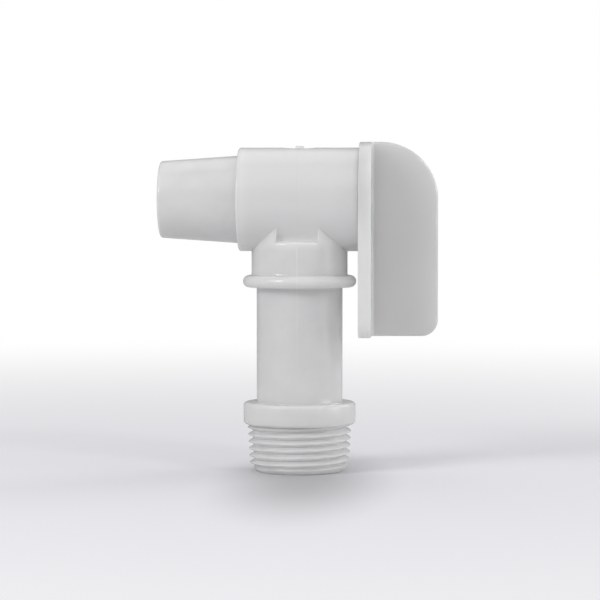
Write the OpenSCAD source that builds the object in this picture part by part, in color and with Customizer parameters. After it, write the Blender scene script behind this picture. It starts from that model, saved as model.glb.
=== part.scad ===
// Moulded plastic spigot with a hollow rotary plug and a lever handle.
// All lengths are in millimetres.
// The origin is the centre of the inlet's open end. +Z runs up the inlet to the barrel,
// +X runs along the barrel to the handle, and the spout leaves along -X.

/* [Threaded inlet] */
// Crest diameter of the tapered pipe thread at its open end
thread_small_d = 25.6; // [24.5:0.1:26.4]
// Crest diameter of the thread where it meets the collar
thread_large_d = 26.9; // [26.5:0.1:28]
// Length of the threaded stub
thread_len = 12.3; // [9:0.1:20]
// Height of the lead-in chamfer at the open end
lead_in_h = 1.9; // [0.5:0.1:4]
// Diameter of the open end, below the lead-in chamfer
lead_in_d = 22.4; // [21:0.1:24]
// Bore of the inlet
inlet_bore_d = 18; // [13:0.1:19.4]

/* [Neck] */
// Height of the collar
collar_h = 5.6; // [3:0.1:10]
// Radius on the collar's upper edge
collar_edge_r = 0.8; // [0.2:0.1:1.4]
// Outside diameter of the neck
neck_d = 22.2; // [21.4:0.1:24]
// Length of the neck between the collar and the bead
neck_len = 29.7; // [8:0.1:60]
// Diameter of the round bead, which the collar and the handle's head match
bead_d = 29.3; // [28.4:0.1:34]
// Step in from the bead's radius to the radius of the collar that seats against the wall
collar_step = 0.15; // [0:0.05:0.2]
// Thickness of the bead, which is also the diameter of its round edge
bead_h = 3.1; // [1.6:0.1:4]

/* [Boss] */
// Diameter of the boss under the barrel
boss_d = 24.8; // [23:0.1:26]
// Height of boss that shows between the bead and the barrel
boss_show = 6.2; // [3:0.1:15]
// Width of the relief pockets in the front and back of the boss
relief_w = 10.6; // [6:0.1:16]
// Height of the pockets' floor above the underside of the barrel
relief_rise = 2.5; // [1.8:0.1:4]
// Radius on the outer edge of the pockets' floor
relief_edge_r = 0.8; // [0.2:0.1:1.2]

/* [Barrel] */
// Outside diameter of the barrel
barrel_d = 26.7; // [26.4:0.1:30]
// Wall of the barrel
barrel_wall = 2.15; // [1.7:0.05:2.6]
// Length of the barrel from the inlet's axis to its spout end
barrel_back = 15.6; // [14.5:0.1:20]
// Thickness of the barrel's end wall, which the plug sits behind
end_wall = 2.3; // [1.5:0.1:3]
// Radius on the barrel's rim at the spout end
rim_r = 0.5; // [0.2:0.1:0.9]
// Radius on the barrel's rim at its mouth, which the handle's flange covers
mouth_rim_r = 0.2; // [0.1:0.05:0.5]
// Half the length of the shallow moulding-gate dish on top of the barrel
gate_r = 4.6; // [3:0.1:6]
// Depth of the moulding-gate dish
gate_depth = 0.4; // [0.2:0.05:0.7]

/* [Spout] */
// Outside diameter of the spout at its root
spout_root_d = 22.6; // [21.8:0.1:23.8]
// Outside diameter of the spout at its tip
spout_tip_d = 19.9; // [18.8:0.1:21]
// Length of the spout beyond the barrel
spout_len = 20.4; // [10:0.1:40]
// Radius on the outer edge of the spout's tip
tip_edge_r = 0.7; // [0.2:0.1:1.2]
// Outlet bore at the tip
outlet_d = 16.2; // [12:0.1:16.8]
// Length of the straight outlet bore behind the tip
outlet_land = 6; // [3:0.1:9]
// Bore of the spout where it opens from the barrel
outlet_root_d = 17.8; // [17:0.1:18.4]

/* [Rotary plug] */
// Wall of the hollow plug
plug_wall = 2.4; // [2.1:0.05:3.2]
// Diameter of the plug's side port and of the port in the barrel that it meets
port_d = 12; // [8:0.1:13]
// Height of the snap bead that holds the plug in the barrel
snap_h = 0.5; // [0.3:0.05:0.8]
// Width of the snap bead at its crest
snap_w = 0.6; // [0.4:0.1:1]
// Cord diameter of the sealing rings
seal_cord_d = 1.4; // [1.1:0.05:1.5]
// Width of the square drive between the handle and the plug
drive_w = 11; // [8:0.1:13]
// Length of the square drive
drive_len = 5; // [3:0.1:5.4]

/* [Lever handle] */
// Step out from the bead's radius to the radius of the round head, half the arm's width
head_step = 0.15; // [0:0.05:2]
// Thickness of the flange
flange_t = 3.3; // [2:0.1:5]
// Reach of the arm from the barrel's axis to its free end
arm_reach = 35.2; // [24:0.1:60]
// Radius on the corners of the arm's free end
arm_corner_r = 4; // [1:0.1:10]
// Height of the grip fin above the flange
fin_h = 16.9; // [16:0.1:30]
// Thickness of the fin at the flange
fin_root_t = 3.4; // [2.4:0.1:6]
// Thickness of the fin at its outer edge
fin_edge_t = 2.6; // [1.6:0.1:5]
// Radius on the fin's lower outer corner
fin_corner_r = 4.2; // [1:0.1:10]

/* [Clearances] */
// Radial running gap between the plug and the barrel
plug_gap = 0.08; // [0.02:0.01:0.1]
// Radial running gap between a sealing ring and the barrel
seal_gap = 0.03; // [0.01:0.01:0.08]
// Gap between the plug's open end and the barrel's end wall
end_gap = 0.15; // [0.05:0.05:0.4]
// Gap all round the snap bead in its groove
snap_gap = 0.15; // [0.1:0.05:0.25]
// Gap between the barrel's rim and the handle's flange
handle_gap = 0.2; // [0.15:0.05:1]
// Gap between the turning arm and the bead that it passes
arm_gap = 0.85; // [0.4:0.05:3]
// Gap round a fixed seat, such as the square drive in its socket
seat_gap = 0.03; // [0.01:0.01:0.08]

/* [Hidden] */
$fn = 96;
// Overlap that keeps joined shapes and through cuts from sharing a face
over = 1;

// Heights along the inlet
collar_z = thread_len;
neck_z = collar_z + collar_h;
bead_z = neck_z + neck_len;
boss_z = bead_z + bead_h;
barrel_under_z = boss_z + boss_show;
axis_z = barrel_under_z + barrel_d / 2;
ledge_z = barrel_under_z + relief_rise;

// The wide inlet bore runs a little past the bead and ends in a cone that narrows to the port
bore_past_bead = 1.5;
inlet_bore_len = boss_z + bore_past_bead;
port_cone_h = (inlet_bore_d - port_d) / 2;
collar_d = bead_d - 2 * collar_step;
collar_bevel = 0.5;

// Places along the barrel, measured from the inlet's axis
flange_x = bead_d / 2 + arm_gap;
barrel_front = flange_x - handle_gap;
barrel_floor_x = end_wall - barrel_back;
spout_tip_x = -barrel_back - spout_len;
plug_open_x = barrel_floor_x + end_gap;
fin_x = flange_x + flange_t;
mouth_chamfer = 0.4;

// Diameter of the handle's round head, which is also the width of its arm
head_d = bead_d + 2 * head_step;

// Radii of the turning fit
barrel_bore_r = barrel_d / 2 - barrel_wall;
plug_r = barrel_bore_r - plug_gap;
plug_hollow_r = plug_r - plug_wall;
seal_r = barrel_bore_r - seal_gap - seal_cord_d / 2;
seal_groove_r = seal_r - seal_cord_d / 2 - seat_gap;
seal_groove_w = seal_cord_d + 2 * seat_gap;

// The seals and the closed end of the plug's hollow keep clear of the port
port_to_seal = 1.8;
port_to_hollow_end = 1;
seal_x = port_d / 2 + port_to_seal + seal_groove_w / 2;
hollow_end_x = port_d / 2 + port_to_hollow_end;
hollow_chamfer = 2;

// The snap bead sits between the handle-side seal and the barrel's mouth
snap_r = plug_r + snap_h;
snap_x = (seal_x + seal_groove_w / 2 + barrel_front - mouth_chamfer) / 2;

function at_angle(r, a) = [r * cos(a), r * sin(a)];

// Points of a round edge of radius r about centre c, from angle a0 to angle a1
function round_edge(c, r, a0, a1, steps = 8) =
    [for (i = [0 : steps]) c + at_angle(r, a0 + (a1 - a0) * i / steps)];

// Turns a profile drawn as [radius, distance] about the barrel's axis
module about_barrel() {
    translate([0, 0, axis_z])
        rotate([0, 90, 0])
            rotate_extrude()
                children();
}

// Outside of the inlet and neck, up to the given height, with its own round upper edge
module inlet_outside(top_z, top_edge_r) {
    bead_r = bead_h / 2;
    rotate_extrude()
        polygon(concat(
            [[0, 0], [lead_in_d / 2, 0], [thread_small_d / 2, lead_in_h]],
            [[thread_large_d / 2, collar_z], [collar_d / 2 - collar_bevel, collar_z]],
            [[collar_d / 2, collar_z + collar_bevel]],
            round_edge([collar_d / 2 - collar_edge_r, neck_z - collar_edge_r], collar_edge_r, 0, 90),
            [[neck_d / 2, neck_z], [neck_d / 2, bead_z]],
            round_edge([bead_d / 2 - bead_r, bead_z + bead_r], bead_r, -90, 90, 16),
            [[boss_d / 2, boss_z]],
            round_edge([boss_d / 2 - top_edge_r, top_z - top_edge_r], top_edge_r, 0, 90),
            [[0, top_z]]
        ));
}

// Boss with a relief pocket in its front and back, which bares the barrel's round wall
module boss_with_pockets() {
    inlet_outside(ledge_z, relief_edge_r);
    difference() {
        translate([0, 0, ledge_z - 2 * relief_edge_r])
            cylinder(d = boss_d, h = axis_z - ledge_z + 2 * relief_edge_r);
        translate([-relief_w / 2, -boss_d, ledge_z - relief_edge_r - over])
            cube([relief_w, 2 * boss_d, axis_z]);
    }
}

// Outside of the barrel, with both rims rounded
module barrel_outside() {
    r = barrel_d / 2;
    about_barrel()
        polygon(concat(
            [[0, -barrel_back]],
            round_edge([r - rim_r, rim_r - barrel_back], rim_r, -90, 0),
            round_edge([r - mouth_rim_r, barrel_front - mouth_rim_r], mouth_rim_r, 0, 90),
            [[0, barrel_front]]
        ));
}

// Outside of the tapered spout, rooted inside the barrel's end wall
module spout_outside() {
    about_barrel()
        polygon(concat(
            [[0, over - barrel_back], [spout_root_d / 2, over - barrel_back]],
            [[spout_root_d / 2, -barrel_back]],
            round_edge([spout_tip_d / 2 - tip_edge_r, spout_tip_x + tip_edge_r], tip_edge_r, 0, -90),
            [[0, spout_tip_x]]
        ));
}

// Inlet bore, the cone that narrows it, and the port into the barrel
module inlet_passage() {
    translate([0, 0, -over])
        cylinder(d = inlet_bore_d, h = inlet_bore_len + over);
    translate([0, 0, inlet_bore_len])
        cylinder(d1 = inlet_bore_d, d2 = port_d, h = port_cone_h);
    cylinder(d = port_d, h = axis_z);
}

// Bore that the plug turns in, with its mouth chamfer and snap groove
module barrel_bore() {
    groove_r = snap_r + snap_gap;
    groove_half = snap_w / 2 + snap_gap;
    groove_run = groove_r - barrel_bore_r;
    about_barrel()
        polygon([
            [0, barrel_floor_x],
            [barrel_bore_r, barrel_floor_x],
            [barrel_bore_r, snap_x - groove_half - groove_run],
            [groove_r, snap_x - groove_half],
            [groove_r, snap_x + groove_half],
            [barrel_bore_r, snap_x + groove_half + groove_run],
            [barrel_bore_r, barrel_front - mouth_chamfer],
            [barrel_bore_r + mouth_chamfer + over, barrel_front + over],
            [0, barrel_front + over]
        ]);
}

// Outlet passage: tapered from the barrel, then straight behind the tip
module outlet_passage() {
    about_barrel()
        polygon([
            [0, spout_tip_x - over],
            [outlet_d / 2, spout_tip_x - over],
            [outlet_d / 2, spout_tip_x + outlet_land],
            [outlet_root_d / 2, barrel_floor_x],
            [outlet_root_d / 2, barrel_floor_x + over],
            [0, barrel_floor_x + over]
        ]);
}

// Shallow hollow where the mould's gate met the barrel, gate_r wide each way along it
module gate_dish() {
    ball_r = (gate_r * gate_r + gate_depth * gate_depth) / (2 * gate_depth);
    translate([0, 0, axis_z + barrel_d / 2 - gate_depth + ball_r])
        sphere(r = ball_r);
}

module valve_body() {
    color([0.87, 0.88, 0.88])
        difference() {
            union() {
                boss_with_pockets();
                barrel_outside();
                spout_outside();
            }
            inlet_passage();
            barrel_bore();
            outlet_passage();
            gate_dish();
        }
}

// Groove for one sealing ring, centred at x on the barrel's axis
module seal_groove(x) {
    about_barrel()
        translate([seal_groove_r, x - seal_groove_w / 2])
            square([plug_r, seal_groove_w]);
}

// Hollow plug: open towards the spout, closed by a solid head with a square socket
module rotary_plug() {
    bead_half = snap_w / 2;
    socket_w = drive_w + 2 * seat_gap;
    color([0.83, 0.84, 0.85])
        difference() {
            about_barrel()
                polygon([
                    [0, hollow_end_x],
                    [plug_hollow_r - hollow_chamfer, hollow_end_x],
                    [plug_hollow_r, hollow_end_x - hollow_chamfer],
                    [plug_hollow_r, plug_open_x],
                    [plug_r - mouth_chamfer, plug_open_x],
                    [plug_r, plug_open_x + mouth_chamfer],
                    [plug_r, snap_x - bead_half - snap_h],
                    [snap_r, snap_x - bead_half],
                    [snap_r, snap_x + bead_half],
                    [plug_r, snap_x + bead_half + snap_h],
                    [plug_r, flange_x],
                    [0, flange_x]
                ]);
            seal_groove(seal_x);
            seal_groove(-seal_x);
            cylinder(d = port_d, h = axis_z);
            translate([flange_x - drive_len - seat_gap, -socket_w / 2, axis_z - socket_w / 2])
                cube([drive_len + seat_gap + over, socket_w, socket_w]);
        }
}

// Sealing ring in its groove, centred at x on the barrel's axis
module o_ring(x) {
    color([0.78, 0.79, 0.80])
        about_barrel()
            translate([seal_r, x])
                circle(d = seal_cord_d, $fn = 48);
}

module o_ring_handle_side() {
    o_ring(seal_x);
}

module o_ring_spout_side() {
    o_ring(-seal_x);
}

// Side outline of the flange: a round head about the barrel's axis and a straight arm
module flange_outline() {
    corner = head_d / 2 - arm_corner_r;
    circle(d = head_d);
    polygon(concat(
        [[-head_d / 2, 0]],
        round_edge([-corner, arm_corner_r - arm_reach], arm_corner_r, 180, 270),
        round_edge([corner, arm_corner_r - arm_reach], arm_corner_r, 270, 360),
        [[head_d / 2, 0]]
    ));
}

// Front outline of the fin: [distance along X, height above the barrel's axis]
module fin_outline() {
    top = head_d / 2;
    edge_x = fin_x + fin_h;
    polygon(concat(
        [[fin_x - over, -arm_reach]],
        round_edge([edge_x - fin_corner_r, fin_corner_r - arm_reach], fin_corner_r, -90, 0),
        round_edge([edge_x - top, 0], top, 0, 90, 24),
        [[fin_x - over, top]]
    ));
}

// Grip fin: its front outline, thinned evenly from the flange to the outer edge
module grip_fin() {
    width = 2 * head_d;
    span = arm_reach + head_d;
    intersection() {
        translate([0, width / 2, axis_z])
            rotate([90, 0, 0])
                linear_extrude(width)
                    fin_outline();
        translate([0, 0, axis_z - arm_reach - over])
            linear_extrude(span)
                polygon([
                    [fin_x - over, -fin_root_t / 2],
                    [fin_x, -fin_root_t / 2],
                    [fin_x + fin_h + over, -fin_edge_t / 2],
                    [fin_x + fin_h + over, fin_edge_t / 2],
                    [fin_x, fin_root_t / 2],
                    [fin_x - over, fin_root_t / 2]
                ]);
    }
}

// Lever handle: flange, grip fin and the square drive that turns the plug
module lever_handle() {
    color([0.80, 0.81, 0.82]) {
        translate([flange_x, 0, axis_z])
            rotate([90, 0, 90])
                linear_extrude(flange_t)
                    flange_outline();
        grip_fin();
        translate([flange_x - drive_len, -drive_w / 2, axis_z - drive_w / 2])
            cube([drive_len + over, drive_w, drive_w]);
    }
}

valve_body();
rotary_plug();
o_ring_handle_side();
o_ring_spout_side();
lever_handle();
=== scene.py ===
"""Looks and studio of a moulded plastic spigot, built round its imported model.

The pieces' sizes are in millimetres, as in the part's source. Each piece is
shaped in millimetres and brought to metres when it is finished. The studio's
sizes are in metres.
"""

import logging
import math
from dataclasses import dataclass, field
from enum import Enum

import bmesh
import bpy
from mathutils import Matrix, Vector

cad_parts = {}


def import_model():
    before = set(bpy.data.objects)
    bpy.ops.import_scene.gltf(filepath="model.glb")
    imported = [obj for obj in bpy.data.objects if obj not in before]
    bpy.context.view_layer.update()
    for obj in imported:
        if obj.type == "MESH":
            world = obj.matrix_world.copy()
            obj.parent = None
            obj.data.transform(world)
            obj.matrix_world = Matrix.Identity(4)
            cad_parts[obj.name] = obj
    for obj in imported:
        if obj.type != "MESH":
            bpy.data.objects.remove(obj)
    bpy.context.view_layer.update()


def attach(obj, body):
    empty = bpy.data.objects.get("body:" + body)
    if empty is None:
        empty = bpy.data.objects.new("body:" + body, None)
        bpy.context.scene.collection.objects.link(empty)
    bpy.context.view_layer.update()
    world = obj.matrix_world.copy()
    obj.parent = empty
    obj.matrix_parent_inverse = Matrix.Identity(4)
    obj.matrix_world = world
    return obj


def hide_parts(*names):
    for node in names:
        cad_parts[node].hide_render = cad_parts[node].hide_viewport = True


MM = 0.001
FULL_TURN = 2 * math.pi
WHITE = (1, 1, 1, 1)
# Edges that fold by more than this many degrees stay crisp
CREASE_ANGLE = 36
# Vertices nearer to each other than this become one, after a spin and after other changes
SPIN_MERGE, MERGE = 0.0001, 0.002
# A distance that doesn't count, and how near a line an edge has to be to lie on it
HAIR, NEAR = 0.001, 0.01
# An edge runs along a direction when the cosine between the two is above this
PARALLEL = 0.999
# How far a cutter stands out of the face that it opens
OVER = 1.0
# The Mix node names its sockets alike for every kind of value, so its colours go by number
MIX_FIRST, MIX_SECOND, MIX_RESULT = 6, 7, 2

Profile = list[tuple[float, float]]
Colour = tuple[float, float, float]
Socket = bpy.types.NodeSocket

log = logging.getLogger("spigot")


class Axis(Enum):
    """The two lines that round shapes are turned about."""

    INLET = "inlet"
    BARREL = "barrel"


class RigidBody(Enum):
    """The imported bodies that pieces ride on."""

    BODY = "body"
    ROTOR = "rotor"


class Slot(Enum):
    """The record's material slots."""

    BODY = "body_plastic"
    PLUG = "plug_plastic"
    HANDLE = "handle_plastic"
    SEAL = "seal_rubber"


class Joining(Enum):
    """Ways in which one solid changes another."""

    ADD = "UNION"
    CUT = "DIFFERENCE"


@dataclass(frozen=True)
class Frame:
    """Places that the pieces share.

    Attributes:
        axis_z: Height of the barrel's axis above the inlet's open end.
        barrel_r: Outside radius of the barrel.
        barrel_back: Length of the barrel from the inlet's axis to the spout.
        barrel_front: Length of the barrel from the inlet's axis to its mouth.
        barrel_bore_r: Radius of the bore that the plug turns in.
        barrel_floor: Place of the bore's end wall along the barrel.
        flange_x: Place of the handle's inner face along the barrel.
        head_r: Radius of the handle's round head.
        seal_x: Distance of each seal's middle from the inlet's axis.
        snap_x: Place of the snap bead's middle along the barrel.
        port_r: Radius of the port between the inlet and the plug.
        drive_w: Width of the square drive.
        drive_len: Length of the square drive.
    """

    axis_z: float = 70.25
    barrel_r: float = 13.35
    barrel_back: float = 15.6
    barrel_front: float = 15.3
    barrel_bore_r: float = 11.2
    barrel_floor: float = -13.3
    flange_x: float = 15.5
    head_r: float = 14.8
    seal_x: float = 8.53
    snap_x: float = 12.08
    port_r: float = 6.0
    drive_w: float = 11.0
    drive_len: float = 5.0


def arc(centre: tuple[float, float], radius: float, start: float, stop: float, steps: int = 6) -> Profile:
    """Places points along an arc.

    Args:
        centre: Middle of the arc.
        radius: Radius of the arc.
        start: First angle in degrees.
        stop: Last angle in degrees.
        steps: Number of equal parts.

    Returns:
        The points in order, both ends included.
    """
    angles = [math.radians(start + (stop - start) * i / steps) for i in range(steps + 1)]
    return [(centre[0] + radius * math.cos(a), centre[1] + radius * math.sin(a)) for a in angles]


def run(start: tuple[float, float], stop: tuple[float, float], steps: int) -> Profile:
    """Splits a straight line into equal parts.

    Args:
        start: First point.
        stop: Last point.
        steps: Number of parts.

    Returns:
        The points in order, both ends included.
    """
    return [tuple(a + (b - a) * i / steps for a, b in zip(start, stop)) for i in range(steps + 1)]


def smooth(value: float) -> float:
    """Eases a number that runs from 0 to 1, and holds it there beyond."""
    held = min(max(value, 0.0), 1.0)
    return held * held * (3 - 2 * held)


def discard(thing: bpy.types.Object) -> None:
    """Removes an object and its mesh."""
    data = thing.data
    bpy.data.objects.remove(thing)
    bpy.data.meshes.remove(data)


class Shape:
    """A solid under construction: a bmesh in millimetres with the operators that shape it."""

    def __init__(self) -> None:
        """Starts with no faces."""
        self.mesh = bmesh.new()

    @classmethod
    def turned(cls, profile: Profile, axis: Axis, frame: Frame, steps: int, ring: bool = False) -> "Shape":
        """Spins a profile a full turn.

        Args:
            profile: Points as (radius, distance along the axis).
            axis: The line to turn about.
            frame: The shared places.
            steps: Number of facets round the turn.
            ring: Whether the profile closes on itself away from the axis.

        Returns:
            The closed solid.
        """
        shape = cls()
        mesh = shape.mesh
        points = [mesh.verts.new((radius, 0.0, along)) for radius, along in profile]
        pairs = list(zip(points, points[1:]))
        if ring:
            pairs.append((points[-1], points[0]))
        for pair in pairs:
            mesh.edges.new(pair)
        bmesh.ops.spin(
            mesh, geom=mesh.verts[:] + mesh.edges[:], cent=(0, 0, 0), axis=(0, 0, 1),
            dvec=(0, 0, 0), angle=FULL_TURN, steps=steps, use_merge=True,
        )
        bmesh.ops.remove_doubles(mesh, verts=mesh.verts, dist=SPIN_MERGE)
        if axis is Axis.BARREL:
            shape.move(Matrix.Translation((0, 0, frame.axis_z)) @ Matrix.Rotation(math.radians(90), 4, "Y"))
        return shape.mended()

    @classmethod
    def block(cls, low: tuple[float, float, float], high: tuple[float, float, float]) -> "Shape":
        """Makes a rectangular block.

        Args:
            low: Lowest corner.
            high: Highest corner.

        Returns:
            The block.
        """
        shape = cls()
        bmesh.ops.create_cube(shape.mesh, size=1)
        span = Vector(high) - Vector(low)
        middle = (Vector(high) + Vector(low)) / 2
        shape.move(Matrix.Translation(middle) @ Matrix.Diagonal((*span, 1)))
        return shape

    @classmethod
    def taken(cls, thing: bpy.types.Object) -> "Shape":
        """Takes the mesh back from an object, which is then removed.

        Args:
            thing: The object, still in millimetres.

        Returns:
            The solid.
        """
        shape = cls()
        shape.mesh.from_mesh(thing.data)
        discard(thing)
        return shape

    def move(self, matrix: Matrix) -> "Shape":
        """Applies a matrix to every vertex, and returns the shape."""
        bmesh.ops.transform(self.mesh, matrix=matrix, verts=self.mesh.verts)
        return self

    def mended(self) -> "Shape":
        """Turns every face outwards, and returns the shape."""
        bmesh.ops.recalc_face_normals(self.mesh, faces=self.mesh.faces)
        return self

    def round_edges(self, edges: list[bmesh.types.BMEdge], radius: float, segments: int) -> "Shape":
        """Rounds some edges.

        Args:
            edges: The edges to round.
            radius: Radius of the round.
            segments: Number of facets across it.

        Returns:
            The shape.
        """
        bmesh.ops.bevel(
            self.mesh, geom=edges, offset=radius, offset_type="OFFSET", segments=segments,
            profile=0.5, affect="EDGES", clamp_overlap=False, material=-1,
        )
        bmesh.ops.remove_doubles(self.mesh, verts=self.mesh.verts, dist=MERGE)
        bmesh.ops.dissolve_degenerate(self.mesh, edges=self.mesh.edges, dist=MERGE)
        return self

    def edges_along(self, direction: Vector, places: list[Vector]) -> list[bmesh.types.BMEdge]:
        """Finds straight edges by direction and place.

        Args:
            direction: Unit vector that the edges follow.
            places: A point on the line of each edge that is wanted.

        Returns:
            The edges found.
        """
        found = []
        for edge in self.mesh.edges:
            span = edge.verts[1].co - edge.verts[0].co
            if abs(span.normalized().dot(direction)) < PARALLEL:
                continue
            middle = (edge.verts[0].co + edge.verts[1].co) / 2
            if any((middle - place).cross(direction).length < NEAR for place in places):
                found.append(edge)
        return found

    def as_object(self, name: str) -> bpy.types.Object:
        """Hands the mesh over to a new object in the scene.

        Args:
            name: Name of the object.

        Returns:
            The object, still in millimetres.
        """
        data = bpy.data.meshes.new(name)
        self.mesh.to_mesh(data)
        self.mesh.free()
        made = bpy.data.objects.new(name, data)
        bpy.context.scene.collection.objects.link(made)
        return made


def combine(base: bpy.types.Object, tools: list[Shape], joining: Joining) -> None:
    """Adds solids to an object or cuts them out of it.

    Args:
        base: The object that changes.
        tools: The solids, which are used up.
        joining: Whether they are added or cut.
    """
    for index, shape in enumerate(tools):
        tool = shape.as_object(f"{base.name}_tool_{index}")
        modifier = base.modifiers.new("joining", "BOOLEAN")
        modifier.operation = joining.value
        modifier.solver = "EXACT"
        modifier.object = tool
        graph = bpy.context.evaluated_depsgraph_get()
        changed = bpy.data.meshes.new_from_object(base.evaluated_get(graph))
        base.modifiers.clear()
        used = base.data
        base.data = changed
        bpy.data.meshes.remove(used)
        discard(tool)


def finish_piece(
    piece: bpy.types.Object, body: RigidBody, material: bpy.types.Material, nodes: list[str],
) -> None:
    """Brings a piece to metres, smooths it, dresses it and hands it to the frame.

    Args:
        piece: The object, in millimetres.
        body: The body that it rides on.
        material: The finish.
        nodes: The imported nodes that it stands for.
    """
    mesh = bmesh.new()
    mesh.from_mesh(piece.data)
    bmesh.ops.remove_doubles(mesh, verts=mesh.verts, dist=MERGE)
    bmesh.ops.dissolve_degenerate(mesh, edges=mesh.edges, dist=MERGE)
    bmesh.ops.scale(mesh, vec=(MM, MM, MM), verts=mesh.verts)
    mesh.to_mesh(piece.data)
    mesh.free()
    piece.data.name = piece.name
    piece.data.shade_smooth()
    piece.data.set_sharp_from_angle(angle=math.radians(CREASE_ANGLE))
    piece.data.materials.clear()
    piece.data.materials.append(material)
    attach(piece, body.value)
    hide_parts(*nodes)


@dataclass(frozen=True)
class Noise:
    """An uneven pattern.

    Attributes:
        size: Width of its larger patches in millimetres.
        detail: How many finer layers it has.
        roughness: Strength of the finer layers.
        draw: Factor for the heights that it is read at; below 1 it draws the patches out upwards.
    """

    size: float
    detail: float
    roughness: float
    draw: float = 1.0


@dataclass(frozen=True)
class Mottle:
    """Patches that come and go over a surface.

    Attributes:
        noise: Their pattern.
        band: Values of the pattern between which they come in.
        strength: Their full strength.
    """

    noise: Noise
    band: tuple[float, float]
    strength: float = 1.0


@dataclass(frozen=True)
class Relief:
    """Fine unevenness that can be felt.

    Attributes:
        noise: Its pattern.
        height: Height of a full step in millimetres.
        strength: Share of it that shows.
    """

    noise: Noise
    height: float
    strength: float


class NodeWeb:
    """Short ways to place and join a material's nodes."""

    def __init__(self, name: str) -> None:
        """Starts a material that holds only its output and shader.

        Args:
            name: Name of the material.
        """
        self.material = bpy.data.materials.new(name)
        self.material.use_nodes = True
        self.nodes = self.material.node_tree.nodes
        self.shader = self.nodes["Principled BSDF"]
        self.place = self.nodes.new("ShaderNodeTexCoord").outputs["Object"]

    def join(self, source: Socket, target: Socket) -> None:
        """Links one socket to another."""
        self.material.node_tree.links.new(source, target)

    def noise(self, noise: Noise) -> Socket:
        """Adds an uneven pattern.

        Args:
            noise: The pattern.

        Returns:
            Its value from 0 to 1.
        """
        place = self.place
        if noise.draw != 1:
            mapping = self.nodes.new("ShaderNodeMapping")
            mapping.inputs["Scale"].default_value = (1, 1, noise.draw)
            self.join(place, mapping.inputs["Vector"])
            place = mapping.outputs["Vector"]
        node = self.nodes.new("ShaderNodeTexNoise")
        node.inputs["Scale"].default_value = 1 / (noise.size * MM)
        node.inputs["Detail"].default_value = noise.detail
        node.inputs["Roughness"].default_value = noise.roughness
        self.join(place, node.inputs["Vector"])
        return node.outputs["Fac"]

    def mottle(self, mottle: Mottle) -> Socket:
        """Adds patches, and returns how strong they are at each place."""
        return self.ranged(self.noise(mottle.noise), mottle.band, (0, mottle.strength))

    def relief(self, relief: Relief, under: Socket | None = None) -> Socket:
        """Adds fine unevenness to a normal, or to the surface's own, and returns the new normal."""
        return self.bump(self.noise(relief.noise), relief.height, relief.strength, under)

    def math(self, operation: str, first: Socket, second: Socket | float = 0.0) -> Socket:
        """Works on one or two numbers.

        Args:
            operation: Name of the sum.
            first: First number.
            second: Second number, as a socket or a value.

        Returns:
            The result.
        """
        node = self.nodes.new("ShaderNodeMath")
        node.operation = operation
        self.join(first, node.inputs[0])
        if isinstance(second, Socket):
            self.join(second, node.inputs[1])
        else:
            node.inputs[1].default_value = second
        return node.outputs[0]

    def length(self, vector: Socket) -> Socket:
        """Measures how long a vector is.

        Args:
            vector: The vector.

        Returns:
            Its length.
        """
        node = self.nodes.new("ShaderNodeVectorMath")
        node.operation = "LENGTH"
        self.join(vector, node.inputs[0])
        return node.outputs["Value"]

    def ranged(self, value: Socket, old: tuple[float, float], new: tuple[float, float]) -> Socket:
        """Maps a number from one range to another, with soft ends.

        Args:
            value: The number.
            old: Range that it is read in.
            new: Range that it is given.

        Returns:
            The mapped number.
        """
        node = self.nodes.new("ShaderNodeMapRange")
        node.interpolation_type = "SMOOTHSTEP"
        for name, number in zip(("From Min", "From Max", "To Min", "To Max"), (*old, *new)):
            node.inputs[name].default_value = number
        self.join(value, node.inputs["Value"])
        return node.outputs["Result"]

    def rising(self, value: Socket, start: float, length: float) -> Socket:
        """Lets a coordinate rise softly from 0 to 1, from a start over a length in millimetres."""
        return self.ranged(value, (start * MM, (start + length) * MM), (0, 1))

    def mixed(self, factor: Socket, first: Colour | Socket, second: Colour) -> Socket:
        """Mixes two colours.

        Args:
            factor: Share of the second colour.
            first: First colour, as a value or a socket.
            second: Second colour.

        Returns:
            The mixed colour.
        """
        node = self.nodes.new("ShaderNodeMix")
        node.data_type = "RGBA"
        self.join(factor, node.inputs[0])
        if isinstance(first, Socket):
            self.join(first, node.inputs[MIX_FIRST])
        else:
            node.inputs[MIX_FIRST].default_value = (*first, 1)
        node.inputs[MIX_SECOND].default_value = (*second, 1)
        return node.outputs[MIX_RESULT]

    def bump(self, height: Socket, distance: float, strength: float, under: Socket | None) -> Socket:
        """Raises the surface by a height from 0 to 1.

        Args:
            height: The height.
            distance: Size of a full step in millimetres.
            strength: Share of it that shows.
            under: The normal to work on, or None for the surface's own.

        Returns:
            The new normal.
        """
        node = self.nodes.new("ShaderNodeBump")
        node.inputs["Distance"].default_value = distance * MM
        node.inputs["Strength"].default_value = strength
        self.join(height, node.inputs["Height"])
        if under is not None:
            self.join(under, node.inputs["Normal"])
        return node.outputs["Normal"]


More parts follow.
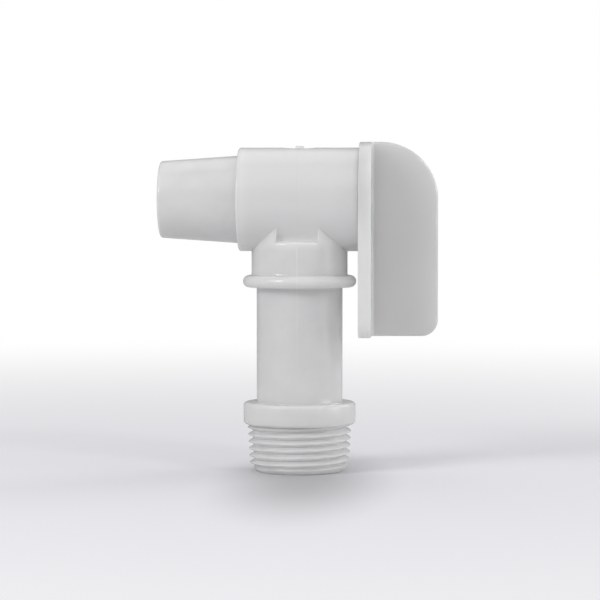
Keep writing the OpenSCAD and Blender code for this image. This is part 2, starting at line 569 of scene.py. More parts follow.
@dataclass(frozen=True)
class MilkyPlastic:
    """Natural polyethylene, cloudy and satin from the mould.

    Attributes:
        name: Name of the material.
        colour: Colour of the clear plastic.
        cloud: Colour of its cloudier patches.
        clouds: Where it is cloudier.
        flow: Streaks from the way it flowed into the mould.
        roughness: Lowest and highest roughness.
        wear: Where its gloss is worn.
        scuffs: Fine marks of handling in the gloss.
        worn_full: Sum of wear and scuffs at which it is roughest.
        peel: Slight waves of the moulded skin.
        grain: Finest unevenness of the moulded skin.
        depth: How far light travels in it, in millimetres.
        travel: How far red, green and blue light travel, as shares of that.
        ior: Index of refraction.
        shine: Strength of its reflections, where 0.5 is what the index gives.
        softness: Radius over which its creases and edges look rounded, in millimetres.
        soft_samples: Rays that look for a near edge.
        seam: Whether a fine mould line runs round it above the inlet's axis.
        seam_highlight: Lighter colour of that line, a painted highlight along its ridge.
        seam_half: Distances from its middle at which it starts to fade and is gone, in millimetres.
        seam_rise: Height from which that line shows, and over which it comes in, in millimetres.
        seam_h: Height of that line in millimetres.
        seam_strength: Share of its height that shows.
        thin_shade: Darker colour of its thinner part, painted shade for the shadow that falls on it and the
            light that passes through it rather than coming back.
        thin_shade_from: Place along the barrel's axis where that painted shade starts, in millimetres, or
            None.
        thin_shade_fade: Length over which it comes in, in millimetres.
        double_wall_light: Lighter colour painted where a second wall lies close behind, painted light for the
            light that it sends back.
        double_wall_light_from: Lowest corner (x, z) of that painted light, the part with a second wall, in
            millimetres, or None.
        double_wall_light_fade: Lengths along x and z over which it comes in, in millimetres.
    """

    name: str
    colour: Colour = (0.875, 0.875, 0.875)
    cloud: Colour = (0.84, 0.84, 0.842)
    clouds: Mottle = Mottle(Noise(9, 3, 0.55), (0.35, 0.68))
    flow: Mottle = Mottle(Noise(5, 4, 0.6, 0.25), (0.4, 0.7), 0.5)
    roughness: tuple[float, float] = (0.1, 0.19)
    wear: Mottle = Mottle(Noise(3.5, 4, 0.6), (0.3, 0.7))
    scuffs: Mottle = Mottle(Noise(1.1, 5, 0.65, 0.12), (0.56, 0.72), 0.35)
    worn_full: float = 1.3
    peel: Relief = Relief(Noise(3.5, 2, 0.5), 0.02, 0.4)
    grain: Relief = Relief(Noise(0.32, 3, 0.6), 0.002, 0.5)
    depth: float = 2.5
    travel: Colour = (1.0, 0.98, 0.95)
    ior: float = 1.52
    shine: float = 0.75
    softness: float = 0.35
    soft_samples: int = 6
    seam: bool = False
    seam_highlight: Colour = (0.93, 0.93, 0.93)
    seam_half: tuple[float, float] = (0.05, 0.2)
    seam_rise: tuple[float, float] = (20.0, 40.0)
    seam_h: float = 0.03
    seam_strength: float = 0.5
    thin_shade: Colour = (0.63, 0.63, 0.635)
    thin_shade_from: float | None = None
    thin_shade_fade: float = 0.8
    double_wall_light: Colour = (0.95, 0.95, 0.95)
    double_wall_light_from: tuple[float, float] | None = None
    double_wall_light_fade: tuple[float, float] = (1.5, 3.0)

    def tint(self, web: NodeWeb, x: Socket, z: Socket) -> Socket:
        """Mixes the colour from the clouds, the painted shade of the thinner part and the painted light of
        the part with a second wall.

        Args:
            web: The material's nodes.
            x: Place along the barrel's axis.
            z: Height.

        Returns:
            The colour.
        """
        clouds = web.math("ADD", web.mottle(self.clouds), web.mottle(self.flow))
        colour = web.mixed(clouds, self.colour, self.cloud)
        if self.thin_shade_from is not None:
            # Painted shade: the thinner part is darkened.
            colour = web.mixed(web.rising(x, self.thin_shade_from, self.thin_shade_fade), colour, self.thin_shade)
        # Painted light: the part with a second wall close behind is lightened.
        if self.double_wall_light_from is not None:
            (low_x, low_z), (fade_x, fade_z) = self.double_wall_light_from, self.double_wall_light_fade
            double_wall_light = web.math("MULTIPLY", web.rising(x, low_x, fade_x), web.rising(z, low_z, fade_z))
            colour = web.mixed(double_wall_light, colour, self.double_wall_light)
        return colour

    def skin(self, web: NodeWeb) -> Socket:
        """Gives the surface its soft edges, waves and grain.

        Args:
            web: The material's nodes.

        Returns:
            The normal.
        """
        soft = web.nodes.new("ShaderNodeBevel")
        soft.samples = self.soft_samples
        soft.inputs["Radius"].default_value = self.softness * MM
        return web.relief(self.grain, web.relief(self.peel, soft.outputs["Normal"]))

    def make(self) -> bpy.types.Material:
        """Builds the material.

        Returns:
            The material.
        """
        web = NodeWeb(self.name)
        shader = web.shader
        parts = web.nodes.new("ShaderNodeSeparateXYZ")
        web.join(web.place, parts.inputs[0])
        x, z = parts.outputs["X"], parts.outputs["Z"]
        colour, normal = self.tint(web, x, z), self.skin(web)
        worn = web.math("ADD", web.mottle(self.wear), web.mottle(self.scuffs))
        web.join(web.ranged(worn, (0, self.worn_full), self.roughness), shader.inputs["Roughness"])
        if self.seam:
            fade = tuple(distance * MM for distance in self.seam_half)
            ridge = web.ranged(web.math("ABSOLUTE", x), fade, (1, 0))
            ridge = web.math("MULTIPLY", ridge, web.rising(z, *self.seam_rise))
            normal = web.bump(ridge, self.seam_h, self.seam_strength, normal)
            # Painted highlight: the mould line's ridge is lightened.
            colour = web.mixed(ridge, colour, self.seam_highlight)
        web.join(colour, shader.inputs["Base Color"])
        web.join(normal, shader.inputs["Normal"])
        shader.inputs["Subsurface Weight"].default_value = 1.0
        shader.inputs["Subsurface Radius"].default_value = self.travel
        shader.inputs["Subsurface Scale"].default_value = self.depth * MM
        shader.inputs["IOR"].default_value = self.ior
        shader.inputs["Specular IOR Level"].default_value = self.shine
        return web.material


@dataclass(frozen=True)
class PaleRubber:
    """Matt rubber of the sealing rings.

    Attributes:
        name: Name of the material.
        colour: Colour where it is clean.
        dusty: Colour of its paler bloom.
        bloom: Where the bloom lies.
        roughness: Roughness where it is clean and where it is dusty.
        skin: Fine unevenness of its surface.
    """

    name: str
    colour: Colour = (0.5, 0.5, 0.48)
    dusty: Colour = (0.6, 0.6, 0.59)
    bloom: Mottle = Mottle(Noise(1.6, 4, 0.6), (0.35, 0.7))
    roughness: tuple[float, float] = (0.55, 0.8)
    skin: Relief = Relief(Noise(0.2, 3, 0.6), 0.004, 0.6)

    def make(self) -> bpy.types.Material:
        """Builds the material.

        Returns:
            The material.
        """
        web = NodeWeb(self.name)
        bloom = web.mottle(self.bloom)
        web.join(web.mixed(bloom, self.colour, self.dusty), web.shader.inputs["Base Color"])
        web.join(web.ranged(bloom, (0, 1), self.roughness), web.shader.inputs["Roughness"])
        web.join(web.relief(self.skin), web.shader.inputs["Normal"])
        return web.material


@dataclass
class ValveBody:
    """The moulded body: threaded inlet, neck, bead, boss, barrel and spout."""

    frame: Frame
    # Threaded stub, with the shares of the pitch that lie flat on the crests and roots
    thread_small_r: float = 12.8
    thread_large_r: float = 13.45
    thread_len: float = 12.3
    thread_pitch: float = 1.814
    thread_depth: float = 1.25
    thread_phase: float = 1.35
    crest_share: float = 0.02
    root_share: float = 0.06
    lead_in_h: float = 1.9
    lead_in_r: float = 11.2
    # Collar, neck and bead, with the lengths left plain beyond the neck's two ends
    collar_r: float = 14.5
    collar_h: float = 5.6
    collar_edge_r: float = 0.8
    collar_bevel: float = 0.5
    neck_r: float = 11.1
    neck_root_r: float = 0.4
    neck_plain: tuple[float, float] = (2.0, 1.0)
    bead_z: float = 47.6
    bead_r: float = 14.65
    bead_h: float = 3.1
    # Boss with its first row of faces, and its pockets: how far their cutter reaches below the
    # ledge and above the axis, and how far their hollow curves go into what they join
    boss_r: float = 12.4
    boss_root_r: float = 0.5
    boss_row: float = 3.0
    ledge_z: float = 59.4
    ledge_edge_r: float = 0.8
    pocket_w: float = 10.6
    pocket_below: float = 3.0
    pocket_above: float = 5.0
    pocket_slack: float = 0.01
    pocket_root_r: float = 1.0
    root_sink: float = 0.1
    root_foot: float = 0.4
    root_inward: float = 3.0
    # Barrel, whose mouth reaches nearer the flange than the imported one, so no dark line shows there
    rim_r: float = 0.5
    mouth_rim_r: float = 0.2
    mouth_reach: float = 0.1
    barrel_end_row: float = 1.5
    snap_groove_depth: float = 0.57
    snap_groove_half: float = 0.45
    mouth_chamfer: float = 0.4
    # Dish and stump left by the mould's gate
    gate_r: float = 4.6
    gate_depth: float = 0.4
    gate_steps: int = 192
    gate_share: float = 0.9
    nub_r: float = 1.1
    nub_rise: float = 0.45
    nub_edge_r: float = 0.35
    nub_sink: float = 0.5
    nub_flare: float = 0.1
    # Spout and the bores
    spout_root_r: float = 11.3
    spout_tip_r: float = 9.95
    spout_tip: float = -36.0
    tip_edge_r: float = 0.7
    outlet_r: float = 8.1
    outlet_chamfer: float = 0.25
    outlet_land: float = 6.0
    outlet_root_r: float = 8.9
    inlet_bore_r: float = 9.0
    inlet_bore_len: float = 52.2
    inlet_chamfer: float = 0.3
    # Facets round each turn, and the height of the rows that the thread is wound into
    steps: int = 160
    bore_steps: int = 96
    barrel_bore_steps: int = 128
    bar_steps: int = 64
    nub_steps: int = 32
    row_h: float = 0.07

    def crest_radius(self, height: float) -> float:
        """Gives the tapered radius over the thread's crests at a height."""
        return self.thread_small_r + (self.thread_large_r - self.thread_small_r) * height / self.thread_len

    def thread_radius(self, height: float, angle: float) -> float:
        """Gives the threaded stub's radius at a place on it.

        Args:
            height: Height above the open end.
            angle: Angle about the inlet's axis, in radians.

        Returns:
            The radius, which is the lead-in cone's where that is smaller.
        """
        turns = (height - self.thread_phase) / self.thread_pitch - angle / FULL_TURN
        off_crest = 2 * abs(turns - round(turns))
        flank = (off_crest - self.crest_share) / (1 - self.crest_share - self.root_share)
        cut = self.thread_depth * smooth(flank)
        cone = self.lead_in_r + (self.thread_small_r - self.lead_in_r) * height / self.lead_in_h
        return min(self.crest_radius(height) - cut, cone)

    def inlet(self) -> Shape:
        """Turns the inlet, neck, bead and boss, and winds the thread into the stub.

        Returns:
            The solid, closed at both ends.
        """
        half, fillet = self.bead_h / 2, self.neck_root_r
        collar_z, neck_z = self.thread_len, self.thread_len + self.collar_h
        boss_z, axis_z = self.bead_z + self.bead_h, self.frame.axis_z
        bevel, edge, root = self.collar_bevel, self.collar_edge_r, self.boss_root_r
        above_collar, under_bead = self.neck_plain
        rows = round(self.thread_len / self.row_h)
        profile = [(0, 0), *run((self.lead_in_r, 0), (self.thread_large_r, collar_z), rows)]
        profile += run((self.collar_r - bevel, collar_z), (self.collar_r, collar_z + bevel), 2)
        profile += arc((self.collar_r - edge, neck_z - edge), edge, 0, 90)
        profile += arc((self.neck_r + fillet, neck_z + fillet), fillet, 270, 180, 4)
        profile += run((self.neck_r, neck_z + above_collar), (self.neck_r, self.bead_z - under_bead), 8)
        profile += arc((self.neck_r + fillet, self.bead_z - fillet), fillet, 180, 90, 4)
        profile += arc((self.bead_r - half, self.bead_z + half), half, -90, 90, 16)
        profile += arc((self.boss_r + root, boss_z + root), root, 270, 180, 4)
        profile += [(self.boss_r, boss_z + self.boss_row), (self.boss_r, axis_z), (0, axis_z)]
        shape = Shape.turned(profile, Axis.INLET, self.frame, self.steps)
        for vertex in shape.mesh.verts:
            x, y, z = vertex.co
            radius = math.hypot(x, y)
            if z < collar_z + HAIR and 1 < radius < self.thread_large_r + HAIR:
                factor = self.thread_radius(z, math.atan2(y, x)) / radius
                vertex.co.x *= factor
                vertex.co.y *= factor
        return shape.mended()

    def pocket_cutter(self) -> Shape:
        """Shapes what is taken out of the boss's front and back, above a ledge with a round edge.

        Returns:
            The solid to cut.
        """
        reach, half, ledge = 2 * self.boss_r, self.pocket_w / 2, self.ledge_z
        low, high = ledge - self.pocket_below, self.frame.axis_z + self.pocket_above
        box = Shape.block((-half, -reach, low), (half, reach, high)).as_object("pocket")
        outer, edge, foot = self.boss_r + self.pocket_slack, self.ledge_edge_r, ledge - 2 * self.pocket_below
        former = [(0, foot), (outer, foot), *arc((outer - edge, ledge - edge), edge, 0, 90), (0, ledge)]
        combine(box, [Shape.turned(former, Axis.INLET, self.frame, self.steps)], Joining.CUT)
        return Shape.taken(box)

    def pocket_roots(self) -> list[Shape]:
        """Shapes the hollow curves that lead from the ledge to the barrel in both pockets.

        Returns:
            The solids to add, front and back.
        """
        frame, root = self.frame, self.pocket_root_r
        middle_z = self.ledge_z + root
        middle_y = math.sqrt((frame.barrel_r + root) ** 2 - (frame.axis_z - middle_z) ** 2)
        low = self.ledge_z - self.root_foot
        high = frame.axis_z - (frame.axis_z - middle_z) * frame.barrel_r / (frame.barrel_r + root)
        half = self.pocket_w / 2 + self.root_sink
        section = [(0, -half - OVER), (root, -half - OVER), (root, half + OVER), (0, half + OVER)]
        roots = []
        for side in (-1, 1):
            near, far = sorted((side * middle_y, side * (middle_y - self.root_inward)))
            block = Shape.block((-half, near, low), (half, far, high)).as_object("pocket_root")
            bar = Shape.turned(section, Axis.BARREL, frame, self.bar_steps)
            bar.move(Matrix.Translation((0, side * middle_y, middle_z - frame.axis_z)))
            combine(block, [bar], Joining.CUT)
            roots.append(Shape.taken(block))
        return roots

    def barrel(self) -> Shape:
        """Turns the outside of the barrel, with both rims rounded.

        Returns:
            The solid to add.
        """
        back, front = -self.frame.barrel_back, self.frame.barrel_front + self.mouth_reach
        radius, rim, lip, row = self.frame.barrel_r, self.rim_r, self.mouth_rim_r, self.barrel_end_row
        profile = [(0, back), *arc((radius - rim, back + rim), rim, -90, 0)]
        profile += run((radius, back + row), (radius, front - row), 14)
        profile += [*arc((radius - lip, front - lip), lip, 0, 90, 4), (0, front)]
        return Shape.turned(profile, Axis.BARREL, self.frame, self.steps)

    def spout(self) -> Shape:
        """Turns the outside of the tapered spout, rooted inside the barrel's end wall.

        Returns:
            The solid to add.
        """
        root, edge = -self.frame.barrel_back, self.tip_edge_r
        rounded = arc((self.spout_tip_r - edge, self.spout_tip + edge), edge, 0, -90)
        profile = [(0, root + OVER), (self.spout_root_r, root + OVER)]
        profile += run((self.spout_root_r, root), (self.spout_tip_r, self.spout_tip + edge), 12)
        profile += [*rounded[1:], (0, self.spout_tip)]
        return Shape.turned(profile, Axis.BARREL, self.frame, self.steps)

    def passages(self) -> list[Shape]:
        """Shapes the liquid's way: inlet bore, barrel bore with its snap groove, and outlet.

        Returns:
            The solids to cut.
        """
        frame = self.frame
        bore, flared = self.inlet_bore_r, self.inlet_bore_r + self.inlet_chamfer
        top = self.inlet_bore_len + bore - frame.port_r
        inlet = [(0, -OVER), (flared, -OVER), (flared, 0), (bore, self.inlet_chamfer)]
        inlet += [(bore, self.inlet_bore_len), (frame.port_r, top)]
        inlet += [(frame.port_r, frame.axis_z), (0, frame.axis_z)]
        bore, floor, mouth = frame.barrel_bore_r, frame.barrel_floor, frame.barrel_front + self.mouth_reach
        groove, flat = bore + self.snap_groove_depth, self.snap_groove_half
        slope, chamfer = flat + self.snap_groove_depth, self.mouth_chamfer
        barrel = [(0, floor), (bore, floor), (bore, frame.snap_x - slope)]
        barrel += [(groove, frame.snap_x - flat), (groove, frame.snap_x + flat), (bore, frame.snap_x + slope)]
        barrel += [(bore, mouth - chamfer), (bore + chamfer + OVER, mouth + OVER), (0, mouth + OVER)]
        tip, bore, root, chamfer = self.spout_tip, self.outlet_r, self.outlet_root_r, self.outlet_chamfer
        outlet = [(0, tip - OVER), (bore + chamfer, tip - OVER), (bore + chamfer, tip), (bore, tip + chamfer)]
        outlet += [(bore, tip + self.outlet_land), (root, floor), (root, floor + OVER), (0, floor + OVER)]
        return [
            Shape.turned(inlet, Axis.INLET, frame, self.bore_steps),
            Shape.turned(barrel, Axis.BARREL, frame, self.barrel_bore_steps),
            Shape.turned(outlet, Axis.BARREL, frame, self.bore_steps),
        ]

    def gate_dish(self) -> Shape:
        """Shapes the shallow dish where the mould's gate met the barrel.

        Returns:
            The solid to cut, which is the lowest cap of a large ball.
        """
        ball_r = (self.gate_r**2 + self.gate_depth**2) / (2 * self.gate_depth)
        shape = Shape()
        steps = self.gate_steps
        bmesh.ops.create_uvsphere(shape.mesh, u_segments=steps, v_segments=steps, radius=ball_r)
        middle = self.frame.axis_z + self.frame.barrel_r - self.gate_depth + ball_r
        unused = [v for v in shape.mesh.verts if v.co.z > -ball_r * self.gate_share]
        bmesh.ops.delete(shape.mesh, geom=unused, context="VERTS")
        rim = [e for e in shape.mesh.edges if e.is_boundary]
        bmesh.ops.contextual_create(shape.mesh, geom=rim)
        return shape.move(Matrix.Translation((0, 0, middle))).mended()

    def gate_nub(self) -> Shape:
        """Turns the small stump that the gate left in its dish.

        Returns:
            The solid to add.
        """
        top, edge = self.frame.axis_z + self.frame.barrel_r, self.nub_edge_r
        dish, tip = top - self.gate_depth, top + self.nub_rise
        foot = dish - self.nub_sink
        profile = [(0, foot), (self.nub_r + self.nub_flare, foot), (self.nub_r, dish)]
        profile += [*arc((self.nub_r - edge, tip - edge), edge, 0, 90), (0, tip)]
        return Shape.turned(profile, Axis.INLET, self.frame, self.nub_steps)

    def build(self, finish: MilkyPlastic) -> bpy.types.Object:
        """Builds the piece and dresses it.

        Args:
            finish: The plastic.

        Returns:
            The piece.
        """
        piece = self.inlet().as_object("moulded_valve_body")
        combine(piece, [self.pocket_cutter()], Joining.CUT)
        combine(piece, [self.barrel(), self.spout(), *self.pocket_roots()], Joining.ADD)
        combine(piece, [*self.passages(), self.gate_dish()], Joining.CUT)
        combine(piece, [self.gate_nub()], Joining.ADD)
        finish_piece(piece, RigidBody.BODY, finish.make(), ["valve_body"])
        return piece


@dataclass
class RotaryPlug:
    """The hollow plug that turns in the barrel, with the two rings that seal it."""

    frame: Frame
    running_gap: float = 0.08
    wall: float = 2.4
    open_x: float = -13.15
    hollow_end: float = 7.0
    hollow_chamfer: float = 2.0
    edge: float = 0.4
    snap_h: float = 0.5
    snap_half: float = 0.3
    seat_gap: float = 0.03
    seal_gap: float = 0.03
    seal_cord_r: float = 0.7
    steps: int = 128
    port_steps: int = 96
    cord_steps: int = 24

    def plug_profile(self) -> Profile:
        """Draws the plug's section, with its seal grooves and snap bead.

        Returns:
            Points as (radius, distance along the barrel).
        """
        frame = self.frame
        outer = frame.barrel_bore_r - self.running_gap
        inner = outer - self.wall
        groove = frame.barrel_bore_r - self.seal_gap - 2 * self.seal_cord_r - self.seat_gap
        half = self.seal_cord_r + self.seat_gap
        profile = [(0, self.hollow_end), (inner - self.hollow_chamfer, self.hollow_end)]
        profile += [(inner, self.hollow_end - self.hollow_chamfer), (inner, self.open_x)]
        profile += [(outer - self.edge, self.open_x), (outer, self.open_x + self.edge)]
        for middle in (-frame.seal_x, frame.seal_x):
            low, high = middle - half, middle + half
            profile += [(outer, low), (groove, low), (groove, high), (outer, high)]
        snap, top = self.snap_half + self.snap_h, outer + self.snap_h
        profile += [(outer, frame.snap_x - snap), (top, frame.snap_x - self.snap_half)]
        profile += [(top, frame.snap_x + self.snap_half), (outer, frame.snap_x + snap)]
        return profile + [(outer, frame.flange_x), (0, frame.flange_x)]

    def build_plug(self, finish: MilkyPlastic) -> bpy.types.Object:
        """Builds the plug and dresses it.

        Args:
            finish: The plastic.

        Returns:
            The piece.
        """
        frame = self.frame
        solid = Shape.turned(self.plug_profile(), Axis.BARREL, frame, self.steps)
        piece = solid.as_object("hollow_rotary_plug")
        section = [(0, 0), (frame.port_r, 0), (frame.port_r, frame.axis_z), (0, frame.axis_z)]
        port = Shape.turned(section, Axis.INLET, frame, self.port_steps)
        half = frame.drive_w / 2 + self.seat_gap
        socket = Shape.block(
            (frame.flange_x - frame.drive_len - self.seat_gap, -half, frame.axis_z - half),
            (frame.flange_x + OVER, half, frame.axis_z + half),
        )
        combine(piece, [port, socket], Joining.CUT)
        finish_piece(piece, RigidBody.ROTOR, finish.make(), ["rotary_plug"])
        return piece

    def build_ring(self, node: str, middle: float, finish: PaleRubber) -> bpy.types.Object:
        """Builds one sealing ring and dresses it.

        Args:
            node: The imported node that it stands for.
            middle: Its place along the barrel.
            finish: The rubber.

        Returns:
            The piece.
        """
        radius = self.frame.barrel_bore_r - self.seal_gap - self.seal_cord_r
        last = 360 - 360 / self.cord_steps
        section = arc((radius, middle), self.seal_cord_r, 0, last, self.cord_steps - 1)
        ring = Shape.turned(section, Axis.BARREL, self.frame, self.steps, ring=True)
        piece = ring.as_object(f"{node}_rubber")
        finish_piece(piece, RigidBody.ROTOR, finish.make(), [node])
        return piece


@dataclass
class LeverHandle:
    """The handle: flange with a round head and straight arm, grip fin and square drive."""

    frame: Frame
    flange_t: float = 3.3
    arm_reach: float = 35.2
    arm_corner_r: float = 4.0
    flange_edge_r: float = 0.3
    fin_h: float = 16.9
    fin_root_t: float = 3.4
    fin_edge_t: float = 2.6
    fin_corner_r: float = 4.2
    fin_edge_r: float = 0.6
    fin_sink: float = 1.0
    drive_edge_r: float = 0.3
    corner_facets: int = 12
    head_facets: int = 40
    edge_facets: int = 3
    fin_edge_facets: int = 4

    def flange(self) -> Shape:
        """Rounds a plate into the flange's outline and softens its edges.

        Returns:
            The flange, in its place.
        """
        frame = self.frame
        low, high = frame.axis_z - self.arm_reach, frame.axis_z + frame.head_r
        x0, x1 = frame.flange_x, frame.flange_x + self.flange_t
        shape = Shape.block((x0, -frame.head_r, low), (x1, frame.head_r, high))
        along = Vector((1, 0, 0))
        feet = [Vector((x0, side * frame.head_r, low)) for side in (-1, 1)]
        shape.round_edges(shape.edges_along(along, feet), self.arm_corner_r, self.corner_facets)
        tops = [Vector((x0, side * frame.head_r, high)) for side in (-1, 1)]
        shape.round_edges(shape.edges_along(along, tops), frame.head_r, self.head_facets)
        rims = [e for e in shape.mesh.edges if abs(e.verts[0].co.x - e.verts[1].co.x) < HAIR]
        return shape.round_edges(rims, self.flange_edge_r, self.edge_facets).mended()

    def fin(self) -> Shape:
        """Rounds a plate into the fin's outline, thins it outwards and softens its edges.

        Returns:
            The fin, in its place.
        """
        frame = self.frame
        low, high = frame.axis_z - self.arm_reach, frame.axis_z + frame.head_r
        root = frame.flange_x + self.flange_t
        x0, x1 = root - self.fin_sink, root + self.fin_h
        half = self.fin_root_t / 2
        shape = Shape.block((x0, -half, low), (x1, half, high))
        along = Vector((0, 1, 0))
        foot, head = [Vector((x1, 0, low))], [Vector((x1, 0, high))]
        shape.round_edges(shape.edges_along(along, foot), self.fin_corner_r, self.corner_facets)
        shape.round_edges(shape.edges_along(along, head), frame.head_r, self.head_facets)
        for vertex in shape.mesh.verts:
            share = (vertex.co.x - root) / self.fin_h
            vertex.co.y *= 1 + (self.fin_edge_t / self.fin_root_t - 1) * share
        # Every edge that doesn't cross the fin's thickness, apart from those sunk in the flange
        rims = [
            e for e in shape.mesh.edges
            if abs(e.verts[0].co.y - e.verts[1].co.y) < half / 2 and max(v.co.x for v in e.verts) > x0 + NEAR
        ]
        return shape.round_edges(rims, self.fin_edge_r, self.fin_edge_facets).mended()

    def drive(self) -> Shape:
        """Makes the square stub that turns the plug.

        Returns:
            The solid to add.
        """
        frame, half = self.frame, self.frame.drive_w / 2
        start, low, high = frame.flange_x - frame.drive_len, frame.axis_z - half, frame.axis_z + half
        shape = Shape.block((start, -half, low), (frame.flange_x + OVER, half, high))
        corners = [Vector((start, y, z)) for y in (-half, half) for z in (low, high)]
        edges = shape.edges_along(Vector((1, 0, 0)), corners)
        return shape.round_edges(edges, self.drive_edge_r, self.edge_facets).mended()

    def build(self, finish: MilkyPlastic) -> bpy.types.Object:
        """Builds the piece and dresses it.

        Args:
            finish: The plastic.

        Returns:
            The piece.
        """
        piece = self.flange().as_object("finned_lever_handle")
        combine(piece, [self.fin(), self.drive()], Joining.ADD)
        finish_piece(piece, RigidBody.ROTOR, finish.make(), ["lever_handle"])
        return piece


@dataclass(frozen=True)
class Softbox:
    """One soft lamp.

    Attributes:
        name: Name of the lamp.
        azimuth: Degrees about the object, with 0 at the camera's side and 90 towards the handle.
        elevation: Degrees above the floor.
        distance: Distance from the object in metres.
        width: Width in metres.
        height: Height in metres.
        watts: Power.
    """

    name: str
    azimuth: float
    elevation: float
    distance: float
    width: float
    height: float
    watts: float


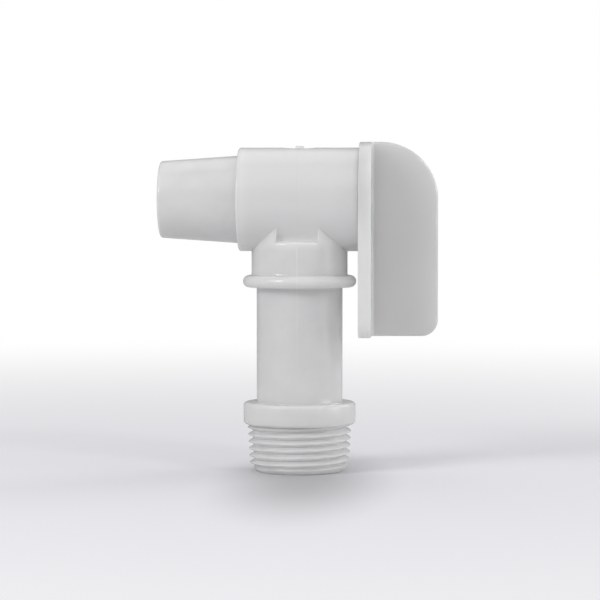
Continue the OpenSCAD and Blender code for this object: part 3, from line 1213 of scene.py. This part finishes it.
@dataclass
class Studio:
    """Plain pale studio: floor, surroundings, soft lamps and the camera.

    Attributes:
        target: What the camera and the lamps face, in metres.
        camera_azimuth: Degrees about the object, counted as a lamp's are.
        camera_elevation: Degrees above the floor.
        camera_distance: Distance from the target in metres.
        lens: Focal length in millimetres.
        sensor: Width of the picture in the camera, in millimetres.
        clip: Nearest and furthest distance that the camera sees, in metres.
        ambient: Strength of the even light from all round.
        floor_half: Half the floor's width in metres.
        fade: Distances between which the floor fades into the white surroundings, in metres.
        floor_colour: Colour that the camera sees.
        floor_bounce: Colour that the object is lit by.
        floor_roughness: Roughness of the floor.
        painted_foot_shadow: Colour of the painted shadow, a soft dark patch in front of the foot.
        shade_place: Middle of that patch, in metres.
        shade_reach: Half its width and half its depth, in metres.
        shade_fade: Shares of its reach between which it fades.
        softboxes: The lamps.
    """

    target: tuple[float, float, float] = (0.0001, 0.0, 0.04425)
    camera_azimuth: float = 3.32
    camera_elevation: float = 2.37
    camera_distance: float = 0.5952
    lens: float = 138.0
    sensor: float = 36.0
    clip: tuple[float, float] = (0.01, 20.0)
    ambient: float = 0.34
    floor_half: float = 2.0
    fade: tuple[float, float] = (-0.04, 0.6)
    floor_colour: Colour = (0.94, 0.93, 0.975)
    floor_bounce: Colour = (0.68, 0.68, 0.69)
    floor_roughness: float = 0.9
    painted_foot_shadow: Colour = (0.58, 0.57, 0.59)
    shade_place: tuple[float, float] = (0.0026, -0.026)
    shade_reach: tuple[float, float] = (0.017, 0.06)
    shade_fade: tuple[float, float] = (0.1, 1.6)
    softboxes: list[Softbox] = field(default_factory=lambda: [
        Softbox("left_softbox", -48, 27, 0.8, 0.34, 0.11, 1.9),
        Softbox("right_softbox", 48, 32, 0.8, 0.12, 0.1, 0.6),
        Softbox("front_softbox", 0, 55, 0.9, 0.8, 0.8, 0.7),
        Softbox("low_right_softbox", 80, 8, 0.9, 0.5, 0.3, 1.1),
        Softbox("top_softbox", 175, 68, 0.9, 0.8, 0.8, 1.3),
        Softbox("rim_softbox", 120, 25, 0.9, 0.4, 0.4, 1.2),
    ])

    def direction(self, azimuth: float, elevation: float) -> Vector:
        """Gives the unit vector from the object to an azimuth and elevation in degrees."""
        a, e = math.radians(azimuth), math.radians(elevation)
        return Vector((math.sin(a) * math.cos(e), -math.cos(a) * math.cos(e), math.sin(e)))

    def aim(self, thing: bpy.types.Object, azimuth: float, elevation: float, distance: float) -> None:
        """Puts a lamp or camera round the object and turns it to face the object.

        Args:
            thing: The lamp or camera.
            azimuth: Degrees about the object.
            elevation: Degrees above the floor.
            distance: Distance in metres.
        """
        back = self.direction(azimuth, elevation)
        thing.location = Vector(self.target) + back * distance
        thing.rotation_mode = "QUATERNION"
        thing.rotation_quaternion = (-back).to_track_quat("-Z", "Y")
        bpy.context.scene.collection.objects.link(thing)

    def add_camera(self) -> None:
        """Sets the camera at the photograph's angle."""
        data = bpy.data.cameras.new("camera")
        data.lens, data.sensor_width = self.lens, self.sensor
        data.clip_start, data.clip_end = self.clip
        camera = bpy.data.objects.new("camera", data)
        self.aim(camera, self.camera_azimuth, self.camera_elevation, self.camera_distance)
        bpy.context.scene.camera = camera

    def add_lamps(self) -> None:
        """Sets the softboxes."""
        for box in self.softboxes:
            data = bpy.data.lights.new(box.name, "AREA")
            data.shape = "RECTANGLE"
            data.size, data.size_y = box.width, box.height
            data.energy = box.watts
            self.aim(bpy.data.objects.new(box.name, data), box.azimuth, box.elevation, box.distance)

    def add_world(self) -> None:
        """Makes the surroundings a plain grey light that the camera sees as white."""
        world = bpy.data.worlds.new("surroundings")
        bpy.context.scene.world = world
        world.use_nodes = True
        nodes, links = world.node_tree.nodes, world.node_tree.links
        nodes.clear()
        paths = nodes.new("ShaderNodeLightPath")
        light, seen = nodes.new("ShaderNodeBackground"), nodes.new("ShaderNodeBackground")
        light.inputs["Color"].default_value = WHITE
        light.inputs["Strength"].default_value = self.ambient
        seen.inputs["Color"].default_value = WHITE
        mix, output = nodes.new("ShaderNodeMixShader"), nodes.new("ShaderNodeOutputWorld")
        links.new(paths.outputs["Is Camera Ray"], mix.inputs[0])
        links.new(light.outputs[0], mix.inputs[1])
        links.new(seen.outputs[0], mix.inputs[2])
        links.new(mix.outputs[0], output.inputs["Surface"])

    def floor_paint(self) -> bpy.types.Material:
        """Paints the floor: a painted shadow in front of the foot, and for the camera white far away.

        Returns:
            The material.
        """
        web = NodeWeb("floor_paint")
        seen = web.nodes.new("ShaderNodeLightPath").outputs["Is Camera Ray"]
        patch = web.nodes.new("ShaderNodeMapping")
        patch.vector_type = "TEXTURE"
        patch.inputs["Location"].default_value = (*self.shade_place, 0)
        patch.inputs["Scale"].default_value = (*self.shade_reach, 1)
        web.join(web.place, patch.inputs["Vector"])
        # Painted shadow: a soft dark patch on the floor in front of the foot, beside the real shadow.
        shade = web.ranged(web.length(patch.outputs["Vector"]), self.shade_fade, (1, 0))
        painted = web.mixed(shade, self.floor_colour, self.painted_foot_shadow)
        unseen = web.ranged(seen, (0, 1), (1, 0))
        web.join(web.mixed(unseen, painted, self.floor_bounce), web.shader.inputs["Base Color"])
        web.shader.inputs["Roughness"].default_value = self.floor_roughness
        web.shader.inputs["Specular IOR Level"].default_value = 0.0
        faded = web.ranged(web.length(web.place), self.fade, (0, 1))
        white, mix = web.nodes.new("ShaderNodeEmission"), web.nodes.new("ShaderNodeMixShader")
        web.join(web.math("MULTIPLY", faded, seen), mix.inputs[0])
        web.join(web.shader.outputs[0], mix.inputs[1])
        web.join(white.outputs[0], mix.inputs[2])
        web.join(mix.outputs[0], web.nodes["Material Output"].inputs["Surface"])
        return web.material

    def add_floor(self) -> None:
        """Lays a pale floor that keeps the object's shadow."""
        mesh = bmesh.new()
        bmesh.ops.create_grid(mesh, x_segments=1, y_segments=1, size=self.floor_half)
        data = bpy.data.meshes.new("floor")
        mesh.to_mesh(data)
        mesh.free()
        floor = bpy.data.objects.new("floor", data)
        bpy.context.scene.collection.objects.link(floor)
        data.materials.append(self.floor_paint())

    def build(self) -> None:
        """Sets up the whole studio."""
        self.add_floor()
        self.add_world()
        self.add_lamps()
        self.add_camera()
        bpy.context.scene.view_settings.view_transform = "Standard"
        log.info("studio: %d softboxes, camera at %.0f mm", len(self.softboxes), self.camera_distance / MM)


def main() -> None:
    """Builds every piece in order, then the studio."""
    logging.basicConfig(level=logging.INFO, format="%(name)s: %(message)s")
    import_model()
    frame = Frame()
    body_plastic = MilkyPlastic(
        "body_polyethylene", seam=True, double_wall_light_from=(-frame.barrel_back, frame.axis_z - frame.barrel_r),
    )
    # Painted light and shade: the handle is lighter than the body for the glow of its flange, and darker
    # beyond 18.8 mm for the shadow that the flange casts on the fin.
    handle_plastic = MilkyPlastic(
        "handle_polyethylene", colour=(0.97, 0.97, 0.97), cloud=(0.95, 0.95, 0.95),
        depth=12.0, thin_shade_from=18.8,
    )
    plug = RotaryPlug(frame)
    pieces = [ValveBody(frame).build(body_plastic), plug.build_plug(MilkyPlastic("plug_polyethylene"))]
    for node, side in (("o_ring_handle_side", 1), ("o_ring_spout_side", -1)):
        pieces.append(plug.build_ring(node, side * frame.seal_x, PaleRubber(f"{node}_rubber")))
    pieces.append(LeverHandle(frame).build(handle_plastic))
    for piece in pieces:
        log.info("%s: %d faces", piece.name, len(piece.data.polygons))
    Studio().build()


if __name__ == "__main__":
    main()
